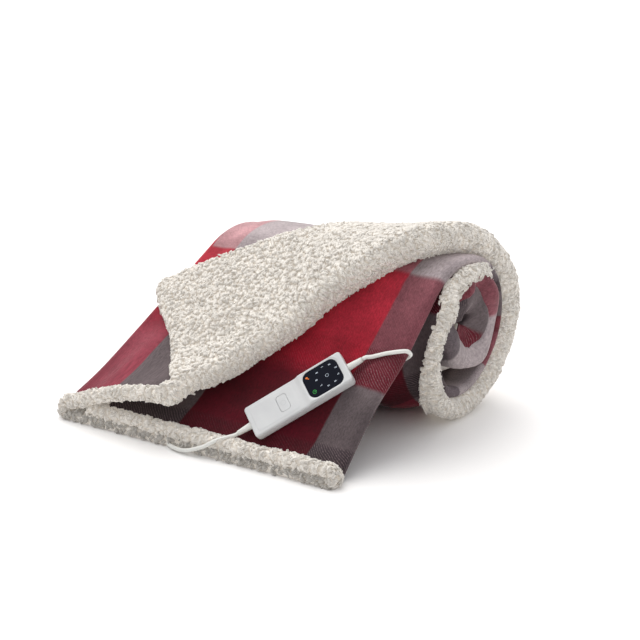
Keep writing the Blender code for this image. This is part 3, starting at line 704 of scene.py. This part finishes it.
LINES, FLATS = (np.array(part) for part in zip(*(seam_line(s) for s in ALONG)))
SIDES = np.array([left_of(line) for line in LINES])
PRESS = np.array([pressed(line) for line in LINES])
PUFFS = np.array([rolled_puffs(s, line) for s, line in zip(ALONG, LINES)])
UPRIGHT = 1 - step_up(ALONG, 0.025, 0.100)

# At the front the lower layer stands out under the middle layer's hem.
lower_share = on("bottom") * 1.0
lower_share[on("right fold")] = np.linspace(0, 1, len(ANGLES))
lower_share[on("left fold")] = np.linspace(1, 0, len(ANGLES))
AHEAD = SET_OUT * (1 - step_up(STATION, 0.0, 0.035)) * lower_share


def sheet_grid(depths, lines=LINES, sides=SIDES, puffs=PUFFS, ahead=AHEAD, course=COURSE):
    """Points at depths to the left of the seam line, for every station and column."""
    spread = lines + sides * depths[..., None]
    grid = np.array([laid(c, row[:, 0] + puff, row[:, 1], f, up)
                     for c, row, puff, f, up in zip(course, spread, puffs, ahead, UPRIGHT)])
    grid[..., 2] = np.maximum(grid[..., 2], 0.0)
    return grid


FACED = (slice(3, None), slice(3, -2))  # the face ends this many rows and columns inside the lining
under_handset = on("middle") & (LINES[..., 0] > 0.15) & (STATION < 0.26)
outside = sheet_grid(np.full(PRESS.shape, SEAM / 2 + FACE))
MEET = handset_meets(outside, under_handset)
outside = outside + MEET
inside = sheet_grid(np.full(PRESS.shape, SEAM / 2)) + MEET

# Polyester flannel, woven in a broken twill and brushed: soft and dull, with a pale sheen at the folds.
flannel, add, shader = material("plaid_flannel", Roughness=0.85, Sheen_Weight=0.65, Sheen_Roughness=0.28,
                                 Specular_IOR_Level=0.25)
COLUMN_FROM, COLUMN_REPEAT, BAND_REPEAT = 0.171, 0.315, 0.50  # the plaid's repeats across and along
flat_place = add("UVMap", uv_map="flat")
wobble = add("TexNoise", Vector=flat_place, Scale=22.0, Detail=3.0)
shift = add("VECTOR SUBTRACT", wobble.node.outputs["Color"], (0.5, 0.5, 0.5))
shift = add("VECTOR SCALE", shift, 0.006)
woven = add("VECTOR ADD", flat_place, shift)
across, down, _ = add("SeparateXYZ", woven).node.outputs
repeat = add("DIVIDE", add("SUBTRACT", across, COLUMN_FROM), COLUMN_REPEAT)
red_column = add("ValToRGB", add("FRACT", repeat), stops=(
    (0.0, "#000000"), (0.006, "#FFFFFF"), (0.600, "#FFFFFF"), (0.606, "#000000")))
band = add("FRACT", add("DIVIDE", down, BAND_REPEAT))
EDGES = (0.000, 0.085, 0.095, 0.275, 0.285, 0.395, 0.405, 0.635, 0.645, 0.875, 0.885, 0.995)
# Colour bands along the strip, first in the grey columns, then in the red ones. The first bands, which lie
# low on the drape at the front, are darker partly by their dye and partly as painted shade, and the red
# ones' dark step at a fifth of the repeat is painted shadow from the turned corner.
grey_bands = add("ValToRGB", band, stops=zip(
    EDGES,
    ("#3B3135 #40363A #584D4F #685D5F #5F1725 #66212D "
     "#793F48 #804B53 #A4989A #ABA0A1 #6A6064 #5C5357").split()))
red_bands = add("ValToRGB", band, stops=zip(
    EDGES[:3] + (0.200, 0.262, 0.320) + EDGES[5:],
    ("#460313 #4A0414 #520215 #47020F #5C0518 #8C0C22 #9A1428 "
     "#A41C2F #AE2B3B #A3616A #AA6C74 #7A2032 #6A1828").split()))
# The red column that lies at the left of the top layer is painted paler there: painted sheen, for the light
# on that slope.
sheen_painted_red_bands = add("ValToRGB", band, stops=zip(
    EDGES[:3] + (0.262, 0.320) + EDGES[5:],
    ("#6B2A35 #6F2C38 #843542 #8B3B48 #8E2436 #9A182B "
     "#A41C2F #AE2B3B #B28488 #B88D90 #8A4452 #7A3442").split()))
PALE_FROM, PALE_TO, PALE_EDGE = 0.79, 1.05, 80.0
from_left = add("MULTIPLY", add("SUBTRACT", across, PALE_FROM), PALE_EDGE, use_clamp=True)
from_right = add("MULTIPLY", add("SUBTRACT", PALE_TO, across), PALE_EDGE, use_clamp=True)
sheen_painted_column = add("MULTIPLY", from_left, from_right)
# How strongly pale threads show through in each band.
threads = add("ValToRGB", band, stops=zip(
    (0.000, 0.085, 0.100, 0.275, 0.290, 0.395, 0.410, 0.635, 0.650, 0.875, 0.890, 0.995),
    ("#B8B8B8 #A0A0A0 #181818 #181818 #B0B0B0 #A0A0A0 "
     "#606060 #404040 #101010 #101010 #303030 #808080").split()))
# The twill's diagonal lines, about 3 mm apart: coarser than the real ones, so that they show.
twill = add("ADD", add("MULTIPLY", across, 1450.0), add("MULTIPLY", down, 1600.0))
twill = add("SINE", add("ADD", twill, add("MULTIPLY", wobble, 16.0)))
broken = add("TexNoise", Vector=flat_place, Scale=420.0, Detail=2.0)
broken = add("MULTIPLY", add("SUBTRACT", broken, 0.30, use_clamp=True), 2.6)
twill = add("SUBTRACT", twill, 0.15, use_clamp=True)
line_share = add("MULTIPLY", twill, broken, use_clamp=True)
column_share = add("SUBTRACT", 1.0, add("MULTIPLY", red_column, 0.82))
line_share = add("MULTIPLY", add("MULTIPLY", line_share, threads), column_share)
reds = add("Mix", sheen_painted_column, red_bands, sheen_painted_red_bands, data_type="RGBA")
plain = add("Mix", red_column, grey_bands, reds, data_type="RGBA")
line_share = add("MULTIPLY", line_share, 0.85)
woven_colour = add("Mix", line_share, plain, linear("#C3A9A8"), data_type="RGBA")
nap = add("TexNoise", Vector=flat_place, Scale=17.0, Detail=5.0, Roughness=0.6)
nap = add("MapRange", nap, 0.3, 0.7, 0.70, 1.26)
fibre = add("TexNoise", Vector=flat_place, Scale=900.0, Detail=1.0)
fibre = add("MapRange", fibre, To_Min=0.82, To_Max=1.18)
# Tufts of nap brushed together, longer along the strip than across it.
heather = add("VECTOR MULTIPLY", flat_place, (430.0, 190.0, 1.0))
heather = add("TexNoise", Vector=heather, Scale=1.0, Detail=3.0, Roughness=0.7)
patches = add("MapRange", heather, 0.3, 0.7, 0.72, 1.30)
shade = add("MULTIPLY", add("MULTIPLY", nap, fibre), patches)
brushed = add("VECTOR SCALE", woven_colour, shade)
add(shader, Base_Color=brushed,
     Sheen_Tint=add("Mix", 0.55, brushed, linear("#F4E6E4"), data_type="RGBA"),
     Normal=add("Bump", Height=heather, Strength=0.45, Distance=0.0012))

# The pattern's place along the cloth. It is closer in the upper layers, and it runs on over the back
# of the roll. In the top layer it lies ahead at the hem, behind on the drape and back in the roll.
UPPER_CLOSER, UPPER_RUN, LOWER_RUN = 1.12, 0.31, 0.33
TOP_AHEAD, TOP_BEHIND, TOP_BACK, TOP_ACROSS = 0.052, 0.018, 0.072, 0.012
upper_layer = on("top", "loop", "turned")
FLAT_ALONG = STATION * np.where(upper_layer, UPPER_CLOSER, 1.0)
FLAT_ALONG = FLAT_ALONG + step_up(STATION, 0.40, 0.72) * np.where(upper_layer, UPPER_RUN, LOWER_RUN)
FLAT_ALONG = FLAT_ALONG - TOP_BACK * step_up(STATION, 0.46, 0.68) * on("top")
ahead_by = TOP_AHEAD * (1 - step_up(STATION, 0.0, 0.10))
behind_by = TOP_BEHIND * step_up(STATION, 0.05, 0.12) * (1 - step_up(STATION, 0.20, 0.36))
FLAT_ALONG = FLAT_ALONG + (ahead_by - behind_by) * on("top")
FLATS[:, on("top")] += TOP_ACROSS * step_up(STATION, 0.15, 0.33)
face = shell_mesh("plaid_face", inside[FACED], outside[FACED], FLATS[FACED], FLAT_ALONG[FACED], flannel)
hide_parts("flannel_face")

# ------------------------------------------------------------------ pile lining
# An off-white curly polyester pile, as thick as a finger where it isn't pressed. It is sewn to
# the face along the hems and turned over them, so that each hem shows as a rounded pale band.
OVER = 0.0050  # the hem stands this far past the seam
TURN_OVER = 0.0035  # and covers the face's edge by this height
RIM = np.radians([20, 40, 60, 78, 88])  # rows that round each hem off
FREE_THICKER, LUMPY = 0.0010, 0.0014  # the free pile is thicker by this much, and lumpy by this much
RING_THINNER, BEAD_THICKER = 0.55, 1.3  # shares: the hem round the roll is thinner, and its bead thicker
# Which way the locks lean on the pile and on the hem, and how much of it is left at the left fold.
COMBED, HEM_COMBED = np.array([1.0, -0.25, -0.35]), np.array([0.0, -0.55, 0.05])
LEFT_COMBED = 0.25
LOWER_SHADE_PAINT = 0.42  # how much darker the lower layer's locks are painted, as shade

edge_left = np.abs(LINES[..., 0] - LINES[:, :1, 0]) + ~on("middle")
edge_right = np.linalg.norm(LINES - LINES[:, -1:], axis=-1) + ~on("turned")
inland = np.minimum(np.minimum(edge_left, edge_right), STATION)
unrolled = 1 - step_up(STATION, 0.90, 1.00)
turned_over = (1 - step_up(inland, 0.006, 0.0125)) * unrolled
turned_over = turned_over * (1 - 0.8 * step_up(STATION, 0.68, 0.74))
in_roll = step_up(STATION, 0.70, 0.75)
hem_ring = in_roll * on("loop", "turned")
hem_bead = in_roll * unrolled * on("top") * step_up(LINES[..., 0], 0.385, 0.402)
PILE = lining_thickness(STATION) * PRESS * (1 - RING_THINNER * hem_ring + BEAD_THICKER * hem_bead)
OPEN = np.maximum(on("loop", "turned") * unrolled, hem_bead)
lumps = np.array([[noise.noise(Vector((s * 95, f * 95, 0.3)))
                   + 0.8 * noise.noise(Vector((s * 38, f * 38, 5.1))) for f in row]
                  for s, row in zip(ALONG, FLATS)])
near_depth = -SEAM / 2 + turned_over * (SEAM + FACE + TURN_OVER)
far_depth = -SEAM / 2 - PILE - np.maximum(OPEN, turned_over) * (FREE_THICKER + LUMPY * lumps)


def carried(values, rows=0):
    """The same values carried on past the first and the last column, and over the front hem's rows."""
    count = len(RIM)
    return np.pad(values, ((rows, 0), (count, count)) + ((0, 0),) * (values.ndim - 2), mode="edge")


def outward(at, inner):
    """The seam line carried on round a hem, column by column."""
    way = LINES[:, at] - LINES[:, inner]
    way = way / np.linalg.norm(way, axis=1)[:, None]
    return np.stack([LINES[:, at] + way * OVER * sin(angle) for angle in RIM], 1)


lines = np.concatenate([outward(0, 1)[:, ::-1], LINES, outward(-1, -2)], axis=1)
sides, puffs, ahead, near_depth, far_depth = map(carried, (SIDES, PUFFS, AHEAD, near_depth, far_depth))
rounded = np.concatenate([np.cos(RIM)[::-1], np.ones(len(LAYER)), np.cos(RIM)])
middle_depth = (near_depth + far_depth) / 2


def pile_surface(depth, lift=0.0):
    """One side of the pile, rounded off at its side hems, with its front hem's own rows before it."""
    depth = middle_depth + (depth - middle_depth) * rounded
    first = middle_depth[:1]
    brim = [sheet_grid(first + (depth[:1] - first) * cos(angle), lines[:1], sides[:1], puffs[:1],
                       ahead[:1] + OVER * sin(angle), COURSE[:1])[0] for angle in RIM[::-1]]
    return np.concatenate([brim, sheet_grid(depth, lines, sides, puffs, ahead) + lift])


# Polyester pile, knitted and curled: matt and off-white, with painted shade in the hollows between its
# tufts and a faint painted glow.
pile_material, add, shader = material(
    "pile_lining", Roughness=1.0, Sheen_Weight=0.25, Sheen_Roughness=0.6, Specular_IOR_Level=0.1,
    Emission_Color=linear("#E6DACB"), Emission_Strength=0.12)
tufts = add("TexVoronoi", Vector=add("TexCoord", out="Object"), Scale=210.0)
add(shader, Normal=add("Bump", Height=tufts, Strength=0.8, Distance=0.0022, invert=True),
     Base_Color=add("ValToRGB", tufts, stops=((0.0, "#F8F5F0"), (0.55, "#F1ECE4"), (1.0, "#E4DCD1"))))

near, far = pile_surface(near_depth, carried(MEET)), pile_surface(far_depth)
pile_flat = carried(FLATS, len(RIM))
pile_along = carried(STATION + np.zeros(LINES.shape[:2]), len(RIM))
lining = shell_mesh("pile_lining_cloth", near, far, pile_flat, pile_along, pile_material, turn=-1)
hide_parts("pile_lining")

# The curly locks that stand on the pile wherever it is free: on the turned part, in the hems, in the
# front of the left fold and round the roll's right end.
across_at = LINES[..., 0]
hem = 1 - step_up(STATION, 0.009, 0.015)
at_start = turned_over * on("middle") * (STATION < 0.17)
near_curl = np.maximum(np.maximum(turned_over * on("turned"), at_start), hem) * ~on("bottom")
near_curl = np.maximum(near_curl, turned_over * (STATION > 0.68))
pressed_hem = (0.8 - 0.6 * on("middle")) * (1 - step_up(STATION, 0.004, 0.009))
fold_front = on("left fold", "top", "bottom") * (across_at < 0.13) * (STATION < 0.09)
rolled_hem = np.clip(hem_ring * unrolled + hem_bead, 0, 1)
far_curl = np.maximum.reduce([OPEN, at_start, pressed_hem, fold_front, rolled_hem])
right = LEFT_COMBED + (1 - LEFT_COMBED) * step_up(across_at, 0.12, 0.30)
comb = COMBED * right[..., None] * (1 - hem[..., None]) + HEM_COMBED * hem[..., None]
# Painted shade: the lower layer's locks are painted greyer, for the shade they lie in under the layers
# above.
painted_shade_share = lower_share ** 2 + np.zeros(LINES.shape[:2])
for name, kind, field, sheets in (
        ("curl", "FLOAT", "value", (near_curl, far_curl)), ("comb", "FLOAT_VECTOR", "vector", (comb, comb)),
        ("strand", "FLOAT", "value", (near_curl * right, far_curl * right)),
        ("grey", "FLOAT", "value", (painted_shade_share, painted_shade_share))):
    values = np.concatenate([carried(sheet, len(RIM)).reshape(-1) for sheet in sheets])
    lining.data.attributes.new(name, kind, "POINT").data.foreach_set(field, values)

# Single locks of polyester fibre, a little darker in patches, with painted shade that greys the lower
# layer's locks and a painted glow in their hollows.
lock_pile, add, shader = material("curled_pile_fibre", Roughness=0.95, Sheen_Weight=0.3,
                                  Sheen_Roughness=0.5, Specular_IOR_Level=0.12, Emission_Strength=0.22)
tip = add("Attribute", attribute_name="tip", out="Fac")
grey = add("Attribute", attribute_name="grey", out="Fac")
patch = add("TexNoise", Vector=add("TexCoord", out="Object"), Scale=55.0, Detail=3.0)
patch = add("MapRange", patch, 0.3, 0.7, 0.86, 1.06)
# Painted shade: the lower layer's locks are darkened by their grey share.
patch = add("MULTIPLY", patch, add("SUBTRACT", 1.0, add("MULTIPLY", grey, LOWER_SHADE_PAINT)))
# The roots are painted a little darker than the tips, as shade.
root_to_tip = add("ValToRGB", tip, stops=((0.0, "#D8D2C9"), (0.40, "#DED9D1"), (1.0, "#E3DFD9")))
# A painted glow stands in for the light that passes through the fine fibres and fills the hollows between
# the locks, most at the roots.
painted_glow = add("ValToRGB", tip, stops=((0.0, "#EDE2D6"), (0.5, "#CEC7BE"), (1.0, "#A09D9A")))
add(shader, Base_Color=add("VECTOR SCALE", root_to_tip, patch),
     Emission_Color=add("VECTOR SCALE", painted_glow, patch))


def lock_mesh(name, length, thick, hook, steps):
    """One curled lock: a three-sided wisp that hooks over towards its own +X."""
    spine, heading = Vector(), 0.10
    points, faces, tips = [], [], []
    for k in range(steps + 1):
        radius = thick * (1 - (k / steps) ** 3) * (1.15 if k else 0.8)
        side, up = Vector((cos(heading), 0, -sin(heading))), Vector((0, 1, 0))
        for n in range(3 if k < steps else 1):
            angle = 2 * pi * n / 3 + 0.2 * k
            points.append(spine + radius * (cos(angle) * side + sin(angle) * up))
            tips.append(k / steps)
        spine = spine + Vector((sin(heading), 0.22 * sin(k), cos(heading))) * length / steps
        heading += hook / steps
    for k in range(steps - 1):
        for n in range(3):
            m = (n + 1) % 3
            faces.append((3 * k + n, 3 * k + m, 3 * k + 3 + m, 3 * k + 3 + n))
    top = 3 * steps
    faces += [(top - 3 + n, top - 3 + (n + 1) % 3, top) for n in range(3)]
    mesh = mesh_of(name, points, faces)
    mesh.shade_smooth()
    mesh.attributes.new("tip", "FLOAT", "POINT").data.foreach_set("value", tips)
    return bpy.data.objects.new(name, mesh)


TUFTS, GATHER = 106.0, 210.0  # tufts to the metre, and how strongly locks lean together in one
OWN_WAY, SIZES = 0.4, (0.72, 1.28)  # how far each lock leans its own way, and how large it is


def locks_group():
    """Scatters locks over a cloth where its curl attribute is high, leaning along its comb."""
    group = bpy.data.node_groups.new("curled_locks", "GeometryNodeTree")
    sockets = {}
    for name, kind in {"Cloth": "Geometry", "Lock": "Object", "Weight": "String", "Density": "Float",
                       "Lean": "Float", "Seed": "Int"}.items():
        made = group.interface.new_socket(name, in_out="INPUT", socket_type="NodeSocket" + kind)
        sockets[name] = made.identifier
    group.interface.new_socket("Locks", in_out="OUTPUT", socket_type="NodeSocketGeometry")
    add = partial(node, group)
    given = add("NodeGroupInput").node.outputs
    curl = add("GeometryNodeInputNamedAttribute", Name=given["Weight"])
    comb = add("GeometryNodeInputNamedAttribute", Name="comb", data_type="FLOAT_VECTOR")
    spread, normal = add("GeometryNodeDistributePointsOnFaces", Mesh=given["Cloth"], Seed=given["Seed"],
                          Density=add("MULTIPLY", curl, given["Density"])).node.outputs[:2]
    # Each lock leans along the comb, towards the middle of its tuft and a little its own way.
    place = add("GeometryNodeInputPosition")
    tuft = add("TexVoronoi", Vector=place, Scale=TUFTS, out="Position")
    gather = add("VECTOR SUBTRACT", tuft, place)
    gather = add("VECTOR SCALE", gather, GATHER)
    own = add("FunctionNodeRandomValue", [-OWN_WAY] * 3, [OWN_WAY] * 3, Seed=given["Seed"],
              data_type="FLOAT_VECTOR")
    lean = add("VECTOR ADD", add("VECTOR ADD", comb, gather), own)
    upward = add("VECTOR DOT_PRODUCT", lean, normal)
    upward = add("VECTOR SCALE", normal, upward)
    lean = add("VECTOR NORMALIZE", add("VECTOR SUBTRACT", lean, upward))
    axis = add("VECTOR SCALE", lean, given["Lean"])
    axis = add("VECTOR NORMALIZE", add("VECTOR ADD", normal, axis))
    turn = add("FunctionNodeAxesToRotation", axis, lean, primary_axis="Z", secondary_axis="X")
    size = add("FunctionNodeRandomValue", *SIZES, Seed=11, data_type="FLOAT")
    lock = add("GeometryNodeObjectInfo", Object=given["Lock"], out="Geometry")
    made = add("GeometryNodeInstanceOnPoints", Points=spread, Instance=lock, Rotation=turn, Scale=size)
    made = add("GeometryNodeRealizeInstances", made)
    # No lock goes under the floor.
    x, y, z = add("SeparateXYZ", add("GeometryNodeInputPosition")).node.outputs
    above = add("CombineXYZ", x, y, add("MAXIMUM", z, 0.0004))
    made = add("GeometryNodeSetPosition", Geometry=made, Position=above)
    add("NodeGroupOutput", add("GeometryNodeSetMaterial", Geometry=made, Material=lock_pile))
    return group, sockets


# Each kind of lock: which attribute thins it out, its length, thickness and hook, its steps, how many
# stand on a square metre, its lean and its seed.
LOCKS = (
    ("pile_undercoat", "curl", 0.0058, 0.0030, 2.4, 3, 46000.0, 0.85, 3),
    ("pile_curls", "curl", 0.0072, 0.0027, 3.2, 4, 32000.0, 0.80, 7),
    ("pile_wisps", "strand", 0.0100, 0.0016, 1.4, 3, 64000.0, 1.3, 19),
)
group, sockets = locks_group()
lock_pieces = []
for name, weight, length, thick, hook, steps, density, lean, seed in LOCKS:
    pattern = lock_mesh(name + "_pattern", length, thick, hook, steps)
    carrier = linked(name + "_carrier", lining.data)
    modifier = carrier.modifiers.new("locks", "NODES")
    modifier.node_group = group
    given = {"Lock": pattern, "Weight": weight, "Density": density, "Lean": lean, "Seed": seed}
    for socket, value in given.items():
        modifier[sockets[socket]] = value
    made = bpy.data.meshes.new_from_object(carrier.evaluated_get(bpy.context.evaluated_depsgraph_get()))
    made.name = name
    for gone in (carrier, pattern):
        bpy.data.objects.remove(gone)
    made.shade_smooth()
    lock_pieces.append(linked(name, made))
    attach(lock_pieces[-1], "blanket")
